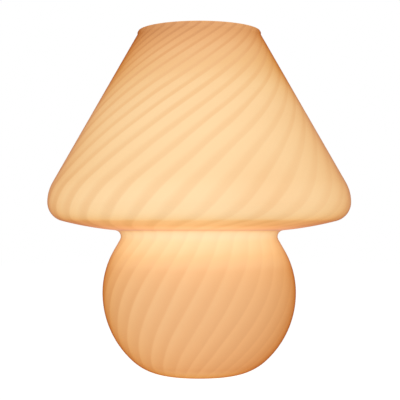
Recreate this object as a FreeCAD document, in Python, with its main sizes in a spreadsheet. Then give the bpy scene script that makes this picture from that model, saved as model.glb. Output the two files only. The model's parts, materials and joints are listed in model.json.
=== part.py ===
# Mushroom table lamp: one blown glass body, open at the top, that is shade and foot in one,
# with a lamp holder on a threaded tube inside it and a screw-in bulb.
# Millimetres. The origin is the centre of the lamp's base on the table, +Z is up, -Y is the front.
import FreeCAD, Part
import Sketcher
import math
import os

DIMENSIONS = {
    # Glass body: heights are above its ground foot, the bend is in degrees.
    "glass_wall": 3.5,
    "glass_height": 358.8,
    "rim_radius": 64.7,
    "rim_collar": 2.25,
    "lip_radius": 157.9,
    "lip_height": 179.8,
    "lip_upper_arc": 41.5,
    "lip_lower_arc": 20.0,
    "underside_bend": 9.0,
    "neck_radius": 82.0,
    "neck_run": 12.4,
    "crease_arc": 6.5,
    "crease_height": 144.26,
    "belly_radius": 101.1,
    "belly_lower_arc": 96.0,
    "base_arc": 57.6,
    "foot_radius": 31.34,
    # Punt: the hollow pushed up in the middle of the foot, and the hole drilled through it.
    "punt_foot_radius": 23.0,
    "punt_top_radius": 16.0,
    "punt_depth": 10.5,
    "stem_hole_radius": 5.6,
    # Hole for the mains lead, square to the belly at the back.
    "lead_hole_radius": 5.0,
    "lead_hole_rise": 11.9,
    # Clear pads under the ground foot.
    "pad_height": 1.2,
    "pad_radius": 3.5,
    "pad_circle": 27.3,
    # Clamp stack through the glass floor, M10x1.
    "tube_radius": 5.0,
    "tube_bore": 3.8,
    "tube_end": 1.0,
    "thread_gap": 0.05,
    "washer_height": 1.5,
    "rubber_radius": 13.0,
    "rubber_height": 1.5,
    "steel_radius": 14.0,
    "nut_height": 4.5,
    "nut_flats": 14.0,
    "sleeve_length": 11.0,
    "sleeve_radius": 7.0,
    "sleeve_bore": 5.3,
    # Lamp holder: heights are above the bottom of its cap.
    "cap_neck_radius": 8.0,
    "cap_neck_height": 9.0,
    "cap_shoulder": 5.0,
    "cap_ledge": 24.0,
    "cap_height": 29.0,
    "cap_wall": 1.8,
    "holder_radius": 20.0,
    "ledge_width": 1.0,
    "ledge_height": 1.5,
    "lead_entry_radius": 3.4,
    "lead_entry_height": 18.2,
    "shell_height": 28.0,
    "shell_wall": 1.9,
    "shell_mouth": 14.7,
    "holder_gap": 0.1,
    "insert_radius": 16.0,
    "insert_height": 8.0,
    "well_radius": 5.5,
    "well_depth": 4.0,
    "grub_radius": 1.5,
    "grub_length": 3.4,
    # Spring contact in the middle of the holder.
    "contact_radius": 4.2,
    "contact_height": 1.0,
    "contact_rise": 2.0,
    "contact_pin": 1.5,
    "contact_stop": 2.3,
    "contact_stop_height": 0.6,
    "running_gap": 0.08,
    "spring_radius": 2.7,
    "spring_wire": 0.25,
    "spring_turns": 4.0,
    # Terminals and the rivets that hold them.
    "terminal_inset": 6.0,
    "terminal_length": 6.5,
    "terminal_width": 7.0,
    "terminal_height": 5.4,
    "terminal_screw_radius": 1.5,
    "terminal_screw_length": 4.5,
    "terminal_screw_level": 2.1,
    "terminal_head_radius": 2.0,
    "terminal_head_height": 1.4,
    "rivet_place": 9.2,
    "rivet_radius": 1.2,
    "rivet_head_radius": 2.0,
    "rivet_head_height": 0.6,
    "rivet_bite": 1.6,
    "rivet_gap": 0.05,
    # Screw thread of the bulb and its holder, 27 mm knuckle thread.
    "thread_pitch": 3.629,
    "thread_core": 12.1,
    "thread_crest": 13.1,
    "thread_play": 0.15,
    "tooth_root": 2.5,
    "tooth_tip": 0.9,
    "tooth_sink": 0.2,
    "screw_shell_wall": 0.75,
    "screw_shell_height": 22.5,
    "screw_shell_floor": 0.6,
    "screw_shell_hole": 6.5,
    "cap_turns": 3.5,
    "holder_turns": 4.5,
    # Bulb: heights are above the bottom of its contact.
    "contact_gap": 0.3,
    "tip_radius": 4.2,
    "tip_height": 1.5,
    "glaze_radius": 12.0,
    "glaze_height": 3.0,
    "screw_cap_height": 26.0,
    "screw_cap_wall": 0.5,
    "first_tooth": 8.0,
    "housing_foot": 13.6,
    "housing_height": 62.0,
    "housing_wall": 1.6,
    "housing_spigot": 9.0,
    "globe_radius": 30.0,
    "globe_wall": 1.2,
    "bulb_height": 109.0,
    "bulb_gap": 0.1,
    "led_board_height": 1.6,
    "led_board_drop": 4.0,
    "led_ledge": 1.2,
    "led_count": 10,
    "led_circle": 14.5,
    "led_width": 3.0,
    "led_height": 0.8,
    "driver_width": 17.0,
    "driver_length": 24.0,
    "driver_height": 1.6,
    "capacitor_radius": 4.0,
    "capacitor_length": 12.0,
    "coil_width": 9.0,
    "coil_depth": 6.0,
    "driver_part_drop": 6.0,
    # Rubber bush in the lead hole.
    "bush_flange_radius": 7.5,
    "bush_flange": 1.5,
    "bush_bore": 3.3,
    "bush_relief": 3.8,
    "bush_seat_gap": 0.4,
}


class Size:
    """A number of the lamp together with the expression that works it out from the sheet."""

    def __init__(self, value, text):
        self.value = value
        self.text = text

    def join(self, sign, other, value):
        """The size that self and other make with the sign between them."""
        return Size(value, "(" + self.text + " " + sign + " " + other.text + ")")

    def __add__(self, other):
        other = size(other)
        return self.join("+", other, self.value + other.value)

    def __radd__(self, other):
        return size(other) + self

    def __sub__(self, other):
        other = size(other)
        return self.join("-", other, self.value - other.value)

    def __rsub__(self, other):
        return size(other) - self

    def __mul__(self, other):
        other = size(other)
        return self.join("*", other, self.value * other.value)

    def __rmul__(self, other):
        return size(other) * self

    def __truediv__(self, other):
        other = size(other)
        return self.join("/", other, self.value / other.value)

    def __neg__(self):
        return size(0) - self


def size(value):
    """A plain number as a Size; a Size stays as it is."""
    if isinstance(value, Size):
        return value
    return Size(value, repr(value))


def sin(angle):
    """Sine of an angle in degrees."""
    return Size(math.sin(math.radians(angle.value)), "sin(" + angle.text + ")")


def cos(angle):
    """Cosine of an angle in degrees."""
    return Size(math.cos(math.radians(angle.value)), "cos(" + angle.text + ")")


def tan(angle):
    """Tangent of an angle in degrees."""
    return Size(math.tan(math.radians(angle.value)), "tan(" + angle.text + ")")


def bearing(up, across):
    """Angle in degrees of a line that goes so far up and so far across."""
    value = math.degrees(math.atan2(up.value, across.value))
    return Size(value, "(atan2(" + up.text + "; " + across.text + ") / 1 deg)")


def angle_of_cosine(ratio):
    """Angle in degrees that has this cosine."""
    return Size(math.degrees(math.acos(ratio.value)), "(acos(" + ratio.text + ") / 1 deg)")


def root(value):
    """Square root."""
    return Size(math.sqrt(value.value), "sqrt(" + value.text + ")")


class Names:
    """The lamp's driving sizes, one attribute for each cell of the sheet."""


doc = FreeCAD.newDocument("mushroom_lamp")
sheet = doc.addObject("Spreadsheet::Sheet", "Dimensions")
d = Names()
for row, (alias, number) in enumerate(DIMENSIONS.items(), start=1):
    sheet.set("A" + str(row), alias)
    sheet.set("B" + str(row), str(number))
    sheet.setAlias("B" + str(row), alias)
    setattr(d, alias, Size(number, "Dimensions." + alias))
doc.recompute()

parts = []


def keep(item, label):
    """Marks a finished sub-part and gives it the name that its file has."""
    item.Label = label
    parts.append(item)
    return item


def bind(item, **sizes):
    """Sets properties of an item and ties each to its expression."""
    for name, value in sizes.items():
        value = size(value)
        item.setExpression(name, value.text)
    return item


def place(item, x=0, y=0, z=0):
    """Moves an item so that its own origin is at x, y, z."""
    for axis, value in (("x", x), ("y", y), ("z", z)):
        item.setExpression("Placement.Base." + axis, size(value).text)
    return item


class Corner:
    """A corner of an outline, reached by a line, or by an arc where it has a radius and centre."""

    def __init__(self, across, up, radius=None, centre=None, turn=1):
        self.across = size(across)
        self.up = size(up)
        self.radius = radius
        self.centre = centre
        self.turn = turn


def middle_of_arc(start, end, corner):
    """Point halfway along the arc that ends at the corner, turning left where turn is 1."""
    x = corner.centre[0].value
    y = corner.centre[1].value
    first = math.atan2(start.y - y, start.x - x)
    last = math.atan2(end.y - y, end.x - x)
    if corner.turn > 0 and last < first:
        last += 2 * math.pi
    if corner.turn < 0 and last > first:
        last -= 2 * math.pi
    half = (first + last) / 2
    radius = corner.radius.value
    return FreeCAD.Vector(x + radius * math.cos(half), y + radius * math.sin(half), 0)


def origin_plane(body, role):
    """One of the body's own origin planes."""
    return next(item for item in body.Origin.OriginFeatures if item.Role == role)


def hold_point(sketch, edge, end, corner):
    """Fixes one end of an edge at the corner's place."""
    for kind, value, axis in (("DistanceX", corner.across, -2), ("DistanceY", corner.up, -1)):
        if abs(value.value) < 1e-9:
            sketch.addConstraint(Sketcher.Constraint("PointOnObject", edge, end, axis))
            continue
        if value.value > 0:
            rule = Sketcher.Constraint(kind, -1, 1, edge, end, value.value)
            text = value.text
        else:
            rule = Sketcher.Constraint(kind, edge, end, -1, 1, -value.value)
            text = (-value).text
        index = sketch.addConstraint(rule)
        sketch.setExpression("Constraints[" + str(index) + "]", text)


def outline(body, name, corners, plane="XZ_Plane"):
    """A closed, fully constrained sketch through the corners on one of the body's planes."""
    sketch = body.newObject("Sketcher::SketchObject", name)
    sketch.AttachmentSupport = [(origin_plane(body, plane), "")]
    sketch.MapMode = "FlatFace"
    points = [FreeCAD.Vector(corner.across.value, corner.up.value, 0) for corner in corners]
    count = len(corners)
    for index in range(count):
        following = (index + 1) % count
        start, end, corner = points[index], points[following], corners[following]
        if corner.radius is None:
            sketch.addGeometry(Part.LineSegment(start, end))
        else:
            sketch.addGeometry(Part.Arc(start, middle_of_arc(start, end, corner), end))
    # An arc is always stored turning left, so where it turns right its ends are the other way round.
    ends = []
    for index in range(count):
        corner = corners[(index + 1) % count]
        ends.append((2, 1) if corner.radius is not None and corner.turn < 0 else (1, 2))
    for index in range(count):
        before = (index - 1) % count
        joint = Sketcher.Constraint("Coincident", before, ends[before][1], index, ends[index][0])
        sketch.addConstraint(joint)
    for index, corner in enumerate(corners):
        hold_point(sketch, index, ends[index][0], corner)
    for index in range(count):
        corner = corners[(index + 1) % count]
        if corner.radius is not None:
            rule = sketch.addConstraint(Sketcher.Constraint("Radius", index, corner.radius.value))
            sketch.setExpression("Constraints[" + str(rule) + "]", corner.radius.text)
    return sketch


def turned(name, corners):
    """A body turned about the lamp's upright axis from an outline of half its section."""
    body = doc.addObject("PartDesign::Body", name)
    sketch = outline(body, name + "_section", corners)
    lathe = body.newObject("PartDesign::Revolution", name + "_turning")
    lathe.Profile = sketch
    lathe.ReferenceAxis = (sketch, ["V_Axis"])
    lathe.Angle = 360
    return body


def ring(name, inner, outer, bottom, top):
    """A plain turned ring between two radii and two heights."""
    section = [Corner(inner, bottom), Corner(outer, bottom), Corner(outer, top), Corner(inner, top)]
    return turned(name, section)


def cylinder(name, radius, height, x=0, y=0, z=0):
    """An upright cylinder that stands on x, y, z."""
    item = doc.addObject("Part::Cylinder", name)
    bind(item, Radius=radius, Height=height)
    return place(item, x, y, z)


def block(name, length, width, height, x, y, z):
    """A box whose lowest corner is at x, y, z."""
    item = doc.addObject("Part::Box", name)
    bind(item, Length=length, Width=width, Height=height)
    return place(item, x, y, z)


def cut(name, base, *tools):
    """The base with every tool cut out of it."""
    for index, tool in enumerate(tools, start=1):
        item = doc.addObject("Part::Cut", name + "_cut_" + str(index))
        item.Base = base
        item.Tool = tool
        base = item
    return base


def fused(name, *items):
    """The items joined into one solid."""
    item = doc.addObject("Part::MultiFuse", name)
    item.Shapes = list(items)
    return item


def group(name, items):
    """Several separate solids in one sub-part."""
    item = doc.addObject("Part::Compound", name)
    item.Links = list(items)
    return item


# Glass body ----------------------------------------------------------------------------------

# How far the belly's lower arc turns down before the base arc takes over.
foot_share = (d.foot_radius - d.belly_radius + d.belly_lower_arc) / (d.belly_lower_arc - d.base_arc)
belly_sweep = angle_of_cosine(foot_share)


def glass_section():
    """Half section of the blown glass, from the stem hole round the outside and back inside."""
    foot = d.pad_height
    wall = d.glass_wall
    # Belly: the lower arc runs into the tighter base arc, which ends square on the ground foot.
    low_x = d.belly_radius - d.belly_lower_arc
    arc_step = d.belly_lower_arc - d.base_arc
    base_z = foot + d.base_arc
    belly_z = base_z + arc_step * sin(belly_sweep)
    # Lip: two arcs that meet at the widest height of the shade.
    lip_z = foot + d.lip_height
    top_x = d.lip_radius - d.lip_upper_arc
    bottom_x = d.lip_radius - d.lip_lower_arc
    # Underside: one long arc, bent by its own angle, that touches the lip and the crease.
    crease_x = d.neck_radius + d.crease_arc
    crease_z = foot + d.crease_height
    half_bend = d.underside_bend / 2
    ahead, above = bottom_x - crease_x, lip_z - crease_z
    apart = root(ahead * ahead + above * above)
    touch = (d.lip_lower_arc + d.crease_arc) * cos(half_bend) / apart
    under_slope = angle_of_cosine(touch) - bearing(ahead, above)
    lip_slope, crease_slope = under_slope + half_bend, under_slope - half_bend
    lip_end_x = bottom_x + d.lip_lower_arc * sin(lip_slope)
    lip_end_z = lip_z - d.lip_lower_arc * cos(lip_slope)
    span = lip_end_x - crease_x + d.crease_arc * sin(crease_slope)
    under_arc = span / (sin(lip_slope) - sin(crease_slope))
    under_x = lip_end_x - under_arc * sin(lip_slope)
    under_z = lip_end_z + under_arc * cos(lip_slope)
    # Neck: a straight run of its own length joins the crease to the belly's upper arc.
    inset = crease_x - d.belly_radius
    up = crease_z - belly_z
    squares = inset * inset + up * up - d.crease_arc * d.crease_arc - d.neck_run * d.neck_run
    upper_arc = squares / (2 * (d.crease_arc - inset))
    high_x = d.belly_radius - upper_arc
    neck_slope = bearing(up, inset + upper_arc) - bearing(d.neck_run, upper_arc + d.crease_arc)

    # Centres are shared by the outer and inner surfaces, so every arc of the wall is concentric.
    base, low, high = (d.foot_radius, base_z), (low_x, belly_z), (high_x, belly_z)
    crease, under = (crease_x, crease_z), (under_x, under_z)
    bottom, top = (bottom_x, lip_z), (top_x, lip_z)

    def on(centre, radius, angle):
        """Point at an angle on an arc."""
        return centre[0] + radius * cos(angle), centre[1] + radius * sin(angle)

    def surface(depth):
        """The wall's arcs from the foot up to the cone, a depth inside the outer surface."""
        into, out = d.base_arc - depth, d.crease_arc + depth
        quarter = size(90)
        runs = [
            (base, into, -belly_sweep, 1),
            (low, d.belly_lower_arc - depth, size(0), 1),
            (high, upper_arc - depth, neck_slope, 1),
            (crease, -out, neck_slope, None),
            (crease, out, quarter + crease_slope, -1),
            (under, under_arc - depth, lip_slope - quarter, 1),
            (bottom, d.lip_lower_arc - depth, size(0), 1),
            (top, d.lip_upper_arc - depth, cone_slope, 1),
        ]
        found = []
        for centre, radius, angle, turn in runs:
            x, z = on(centre, radius, angle)
            if turn is None:
                found.append(Corner(x, z))
            else:
                found.append(Corner(x, z, radius, centre, turn))
        return found

    # Rim and cone: the cone leaves the lip at the slope that reaches the collar under the rim.
    rim_z = foot + d.glass_height
    rim_round = wall / 2
    rim = (d.rim_radius - rim_round, rim_z - rim_round)
    inner_rim = d.rim_radius - wall
    collar_z = rim[1] - d.rim_collar
    inward, climb = d.rim_radius - top_x, collar_z - lip_z
    cone_reach = root(inward * inward + climb * climb)
    cone_slope = bearing(climb, inward) - angle_of_cosine(d.lip_upper_arc / cone_reach)
    cone_x, cone_z = on(top, d.lip_upper_arc - wall, cone_slope)
    inner_collar = cone_z + (cone_x - inner_rim) / tan(cone_slope)
    punt_z = foot + d.punt_depth
    outer = surface(size(0))
    inner = surface(wall)
    section = [
        Corner(d.stem_hole_radius, punt_z),
        Corner(d.punt_top_radius, punt_z),
        Corner(d.punt_foot_radius, foot),
        Corner(d.foot_radius, foot),
    ]
    section += outer
    section += [
        Corner(d.rim_radius, collar_z),
        Corner(d.rim_radius, rim_z - rim_round),
        Corner(rim[0], rim_z, rim_round, rim, 1),
        Corner(inner_rim, rim_z - rim_round, rim_round, rim, 1),
        Corner(inner_rim, inner_collar),
    ]
    # The inner surface runs the other way, so each arc takes the radius and centre of the one before.
    section.append(Corner(inner[-1].across, inner[-1].up))
    for index in range(len(inner) - 1, 0, -1):
        arc, goal = inner[index], inner[index - 1]
        if arc.radius is None:
            section.append(Corner(goal.across, goal.up))
        else:
            section.append(Corner(goal.across, goal.up, arc.radius, arc.centre, -arc.turn))
    section += [
        Corner(d.foot_radius, foot + wall, d.base_arc - wall, base, -1),
        Corner(d.punt_top_radius + wall, punt_z + wall),
        Corner(d.stem_hole_radius, punt_z + wall),
    ]
    return section, (low_x, belly_z)


def lead_axis(item, start):
    """Turns an item that stands on +Z to point out through the lead hole, from a radius of the belly."""
    drop = belly_sweep - d.lead_hole_rise
    angle = size(90) + drop
    item.Placement = FreeCAD.Placement(FreeCAD.Vector(), FreeCAD.Rotation(FreeCAD.Vector(-1, 0, 0), 90))
    item.setExpression("Placement.Rotation.Angle", angle.text)
    place(item, 0, belly_centre[0] + start * cos(drop), belly_centre[1] - start * sin(drop))
    return item


glass_outline, belly_centre = glass_section()
blown = turned("blown_glass", glass_outline)
lead_drill = cylinder("lead_drill", d.lead_hole_radius, d.glass_wall * 4)
lead_axis(lead_drill, d.belly_lower_arc - d.glass_wall * 2)
keep(cut("glass_body", blown, lead_drill), "glass_body")


# Feet and the clamp stack through the glass floor --------------------------------------------

def pads():
    """Clear self-adhesive dots under the ground foot."""
    dots = []
    for index in range(4):
        angle = math.radians(45 + 90 * index)
        x, y = d.pad_circle * math.cos(angle), d.pad_circle * math.sin(angle)
        dots.append(cylinder("pad_" + str(index + 1), d.pad_radius, d.pad_height, x, y, 0))
    return group("bumper_pads", dots)


def nut(name, bottom):
    """A thin hexagon nut on the tube's thread."""
    body = doc.addObject("Part::Prism", name + "_hexagon")
    body.Polygon = 6
    bind(body, Circumradius=d.nut_flats / math.sqrt(3), Height=d.nut_height)
    place(body, 0, 0, bottom)
    bore = cylinder(name + "_bore", d.tube_radius + d.thread_gap, d.nut_height, 0, 0, bottom)
    return cut(name, body, bore)


tube_bore = d.tube_radius + d.thread_gap
floor_under = d.pad_height + d.punt_depth
floor_top = floor_under + d.glass_wall
lower_steel = floor_under - d.rubber_height - d.washer_height
upper_steel = floor_top + d.rubber_height
sleeve_foot = upper_steel + d.washer_height + d.nut_height
holder_foot = sleeve_foot + d.sleeve_length
tube_foot = lower_steel - d.nut_height - d.tube_end
tube_top = holder_foot + d.cap_neck_height + d.tube_end

keep(pads(), "bumper_pads")
keep(nut("lower_nut", lower_steel - d.nut_height), "lower_nut")
keep(ring("lower_steel_washer", tube_bore, d.steel_radius, lower_steel, lower_steel + d.washer_height),
     "lower_steel_washer")
keep(ring("lower_rubber_washer", tube_bore, d.rubber_radius, floor_under - d.rubber_height, floor_under),
     "lower_rubber_washer")
keep(ring("upper_rubber_washer", tube_bore, d.rubber_radius, floor_top, upper_steel), "upper_rubber_washer")
keep(ring("upper_steel_washer", tube_bore, d.steel_radius, upper_steel, upper_steel + d.washer_height),
     "upper_steel_washer")
keep(nut("upper_nut", upper_steel + d.washer_height), "upper_nut")
keep(ring("threaded_tube", d.tube_bore, d.tube_radius, tube_foot, tube_top), "threaded_tube")
keep(ring("stem_sleeve", d.sleeve_bore, d.sleeve_radius, sleeve_foot, holder_foot), "stem_sleeve")


# Lamp holder ---------------------------------------------------------------------------------

def holder_at(height):
    """Height on the table of a height above the bottom of the holder's cap."""
    return holder_foot + height


def sideways(name, radius, length, start, level):
    """A cylinder that points along +X from a start at a level."""
    item = doc.addObject("Part::Cylinder", name)
    bind(item, Radius=radius, Height=length)
    item.Placement = FreeCAD.Placement(FreeCAD.Vector(), FreeCAD.Rotation(FreeCAD.Vector(0, 1, 0), 90))
    return place(item, start, 0, level)


def backwards(name, radius, length, level):
    """A cylinder that points along +Y from the middle of the lamp at a level."""
    item = doc.addObject("Part::Cylinder", name)
    bind(item, Radius=radius, Height=length)
    item.Placement = FreeCAD.Placement(FreeCAD.Vector(), FreeCAD.Rotation(FreeCAD.Vector(1, 0, 0), -90))
    return place(item, 0, 0, level)


ledge_radius = d.insert_radius - d.ledge_width
skirt_bore = d.holder_radius - d.cap_wall
insert_foot = holder_at(d.cap_ledge)
insert_top = insert_foot + d.insert_height
grub_level = holder_at(d.cap_neck_height / 2)
contact_top = insert_top + d.contact_rise
well_floor = insert_top - d.well_depth
terminal_foot = insert_foot - d.terminal_height
screw_bore = d.thread_crest + d.thread_play
bulb_foot = contact_top + d.contact_gap
# The ridge of the holder's thread starts one turn and a half below the bulb's, so they mesh at rest.
bulb_tooth = bulb_foot + d.first_tooth
holder_tooth = bulb_tooth - d.thread_pitch * 1.5


def holder_cap():
    """The holder's lower cap: a neck for the tube, a ledge for the insert and a hole for the lead."""
    shoulder = holder_at(d.cap_neck_height + d.cap_shoulder)
    section = [
        Corner(tube_bore, holder_foot),
        Corner(d.cap_neck_radius, holder_foot),
        Corner(d.cap_neck_radius, holder_at(d.cap_neck_height)),
        Corner(d.holder_radius, shoulder),
        Corner(d.holder_radius, holder_at(d.cap_height)),
        Corner(skirt_bore, holder_at(d.cap_height)),
        Corner(skirt_bore, insert_foot),
        Corner(ledge_radius, insert_foot),
        Corner(ledge_radius, insert_foot - d.ledge_height),
        Corner(skirt_bore, insert_foot - d.ledge_height),
        Corner(skirt_bore, shoulder),
        Corner(tube_bore, holder_at(d.cap_neck_height)),
    ]
    cap = turned("cap_turning", section)
    grub = sideways("grub_hole", d.grub_radius + d.thread_gap, d.holder_radius, 0, grub_level)
    lead = backwards("lead_entry", d.lead_entry_radius, d.holder_radius * 2, holder_at(d.lead_entry_height))
    return cut("holder_cap", cap, grub, lead)


def holder_shell():
    """The holder's outer shell, which screws into the cap's skirt and holds the insert down."""
    bore = d.insert_radius + d.holder_gap
    spigot = skirt_bore - d.holder_gap
    step = holder_at(d.cap_height) + d.holder_gap
    top = holder_at(d.cap_height) + d.shell_height
    round_off = d.shell_wall
    centre = (d.holder_radius - round_off, top - round_off)
    return turned("holder_shell", [
        Corner(bore, insert_foot + d.holder_gap),
        Corner(spigot, insert_foot + d.holder_gap),
        Corner(spigot, step),
        Corner(d.holder_radius, step),
        Corner(d.holder_radius, top - round_off),
        Corner(d.holder_radius - round_off, top, round_off, centre, 1),
        Corner(d.shell_mouth, top),
        Corner(d.shell_mouth, top - d.shell_wall),
        Corner(bore, top - d.shell_wall),
    ])


def rivet_drills(name, bottom, height):
    """Two upright drills for the rivets, opposite each other."""
    return [cylinder(name + "_drill_" + str(index), d.rivet_radius + d.rivet_gap, height, x, 0, bottom)
            for index, x in enumerate((d.rivet_place, -d.rivet_place), start=1)]


def holder_insert():
    """Ceramic insert: a disc with a well for the spring contact and a guide hole for its pin."""
    guide = d.contact_pin + d.running_gap
    disc = turned("insert_disc", [
        Corner(guide, insert_foot),
        Corner(d.insert_radius, insert_foot),
        Corner(d.insert_radius, insert_top),
        Corner(d.well_radius, insert_top),
        Corner(d.well_radius, well_floor),
        Corner(guide, well_floor),
    ])
    return cut("holder_insert", disc, *rivet_drills("insert", insert_foot, d.insert_height))


def rivets():
    """Two rivets that hold the screw shell and the terminals to the insert."""
    solids = []
    foot = insert_foot - d.rivet_bite
    head = insert_top + d.screw_shell_floor
    for index, x in enumerate((d.rivet_place, -d.rivet_place), start=1):
        shank = cylinder("rivet_shank_" + str(index), d.rivet_radius, head - foot, x, 0, foot)
        cap = cylinder("rivet_head_" + str(index), d.rivet_head_radius, d.rivet_head_height, x, 0, head)
        solids.append(fused("rivet_" + str(index), shank, cap))
    return group("insert_rivets", solids)


def terminals():
    """Two brass blocks under the insert, each drilled for its rivet and its screw."""
    solids = []
    level = terminal_foot + d.terminal_screw_level
    far = d.terminal_inset + d.terminal_length
    drills = rivet_drills("terminal", insert_foot - d.rivet_bite, d.rivet_bite)
    starts = ((d.terminal_inset, far - d.terminal_screw_length), (-far, -far))
    for index, (start, hole_start) in enumerate(starts):
        name = "terminal_" + str(index + 1)
        body = block(name, d.terminal_length, d.terminal_width, d.terminal_height,
                     start, -d.terminal_width / 2, terminal_foot)
        hole = sideways(name + "_hole", d.terminal_screw_radius + d.thread_gap, d.terminal_screw_length,
                        hole_start, level)
        solids.append(cut(name, body, drills[index], hole))
    return group("terminals", solids)


def terminal_screws():
    """The two screws that clamp the leads, heads outwards."""
    solids = []
    level = terminal_foot + d.terminal_screw_level
    far = d.terminal_inset + d.terminal_length
    length, head = d.terminal_screw_length, d.terminal_head_height
    starts = ((far - length, far), (-far, -far - head))
    for index, (shank_start, head_start) in enumerate(starts, start=1):
        shank = sideways("screw_shank_" + str(index), d.terminal_screw_radius, length, shank_start, level)
        cap = sideways("screw_head_" + str(index), d.terminal_head_radius, head, head_start, level)
        solids.append(fused("terminal_screw_" + str(index), shank, cap))
    return group("terminal_screws", solids)


def ridge(body, name, root_radius, tip_radius, level, turns):
    """Adds a helical thread ridge to a body, from a tooth whose middle is at a level."""
    half_root, half_tip = d.tooth_root / 2, d.tooth_tip / 2
    tooth = outline(body, name + "_tooth", [
        Corner(root_radius, level - half_root),
        Corner(tip_radius, level - half_tip),
        Corner(tip_radius, level + half_tip),
        Corner(root_radius, level + half_root),
    ])
    helix = body.newObject("PartDesign::AdditiveHelix", name + "_ridge")
    helix.Profile = tooth
    helix.ReferenceAxis = (tooth, ["V_Axis"])
    helix.Mode = "pitch-turns-angle"
    bind(helix, Pitch=d.thread_pitch, Turns=turns)
    return body


def screw_shell():
    """The holder's metal screw shell: a cup with a floor on the insert and the inside thread."""
    outer = screw_bore + d.screw_shell_wall
    floor = insert_top + d.screw_shell_floor
    top = insert_top + d.screw_shell_height
    body = turned("threaded_cup", [
        Corner(d.screw_shell_hole, insert_top),
        Corner(outer, insert_top),
        Corner(outer, top),
        Corner(screw_bore, top),
        Corner(screw_bore, floor),
        Corner(d.screw_shell_hole, floor),
    ])
    ridge(body, "holder", screw_bore + d.tooth_sink, d.thread_core + d.thread_play, holder_tooth,
          d.holder_turns)
    return cut("screw_shell", body, *rivet_drills("floor", insert_top, d.screw_shell_floor))


def centre_contact():
    """Spring contact: a head that meets the bulb, a pin through the insert and a stop below it."""
    stop = insert_foot - d.running_gap
    under = contact_top - d.contact_height
    return turned("centre_contact", [
        Corner(0, stop - d.contact_stop_height),
        Corner(d.contact_stop, stop - d.contact_stop_height),
        Corner(d.contact_stop, stop),
        Corner(d.contact_pin, stop),
        Corner(d.contact_pin, under),
        Corner(d.contact_radius, under),
        Corner(d.contact_radius, contact_top),
        Corner(0, contact_top),
    ])


def contact_spring():
    """Coil spring round the contact's pin, between the floor of the well and the contact's head."""
    body = doc.addObject("PartDesign::Body", "contact_spring")
    wire = body.newObject("Sketcher::SketchObject", "spring_wire_section")
    wire.AttachmentSupport = [(origin_plane(body, "XZ_Plane"), "")]
    wire.MapMode = "FlatFace"
    lowest = well_floor + d.spring_wire + d.running_gap
    highest = contact_top - d.contact_height - d.spring_wire - d.running_gap
    middle = FreeCAD.Vector(d.spring_radius.value, lowest.value, 0)
    wire.addGeometry(Part.Circle(middle, FreeCAD.Vector(0, 0, 1), d.spring_wire.value))
    rules = (
        (Sketcher.Constraint("Radius", 0, d.spring_wire.value), d.spring_wire),
        (Sketcher.Constraint("DistanceX", -1, 1, 0, 3, d.spring_radius.value), d.spring_radius),
        (Sketcher.Constraint("DistanceY", -1, 1, 0, 3, lowest.value), lowest),
    )
    for rule, value in rules:
        index = wire.addConstraint(rule)
        wire.setExpression("Constraints[" + str(index) + "]", value.text)
    coil = body.newObject("PartDesign::AdditiveHelix", "spring_coil")
    coil.Profile = wire
    coil.ReferenceAxis = (wire, ["V_Axis"])
    coil.Mode = "pitch-turns-angle"
    bind(coil, Pitch=(highest - lowest) / d.spring_turns, Turns=d.spring_turns)
    return body


keep(holder_cap(), "holder_cap")
keep(sideways("grub_screw", d.grub_radius, d.grub_length, d.tube_radius + d.thread_gap, grub_level),
     "holder_grub_screw")
keep(holder_shell(), "holder_shell")
keep(holder_insert(), "holder_insert")
keep(screw_shell(), "screw_shell")
keep(centre_contact(), "centre_contact")
keep(contact_spring(), "contact_spring")
keep(terminals(), "terminals")
keep(terminal_screws(), "terminal_screws")
keep(rivets(), "insert_rivets")


# Bulb ----------------------------------------------------------------------------------------

def bulb_at(height):
    """Height on the table of a height above the bottom of the bulb's contact."""
    return bulb_foot + height


globe_middle = d.bulb_height - d.globe_radius
seam_rise = globe_middle - d.housing_height
seam_radius = root(d.globe_radius * d.globe_radius - seam_rise * seam_rise)
flare = (seam_radius - d.housing_foot) / (d.housing_height - d.screw_cap_height)
board_level = d.housing_height - d.led_board_drop
seat_radius = seam_radius - d.led_board_drop * flare - d.housing_wall
glaze_top = d.tip_height + d.glaze_height


def bulb_contact_tip():
    """The bulb's foot contact."""
    return turned("bulb_contact_tip", [
        Corner(0, bulb_foot),
        Corner(d.tip_radius - d.tip_height / 2, bulb_foot),
        Corner(d.tip_radius, bulb_at(d.tip_height / 2)),
        Corner(d.tip_radius, bulb_at(d.tip_height)),
        Corner(0, bulb_at(d.tip_height)),
    ])


def bulb_glaze():
    """The dark insulating cone between the foot contact and the screw cap."""
    return turned("bulb_cap_insulator", [
        Corner(0, bulb_at(d.tip_height)),
        Corner(d.tip_radius + d.tip_height / 2, bulb_at(d.tip_height)),
        Corner(d.glaze_radius, bulb_at(glaze_top)),
        Corner(0, bulb_at(glaze_top)),
    ])


def bulb_screw_cap():
    """The bulb's metal cap with its outside thread."""
    body = turned("bulb_screw_cap", [
        Corner(d.thread_core - d.screw_cap_wall, bulb_at(glaze_top)),
        Corner(d.thread_core, bulb_at(glaze_top)),
        Corner(d.thread_core, bulb_at(d.screw_cap_height)),
        Corner(d.thread_core - d.screw_cap_wall, bulb_at(d.screw_cap_height)),
    ])
    return ridge(body, "bulb", d.thread_core - d.tooth_sink, d.thread_crest, bulb_tooth, d.cap_turns)


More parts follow.
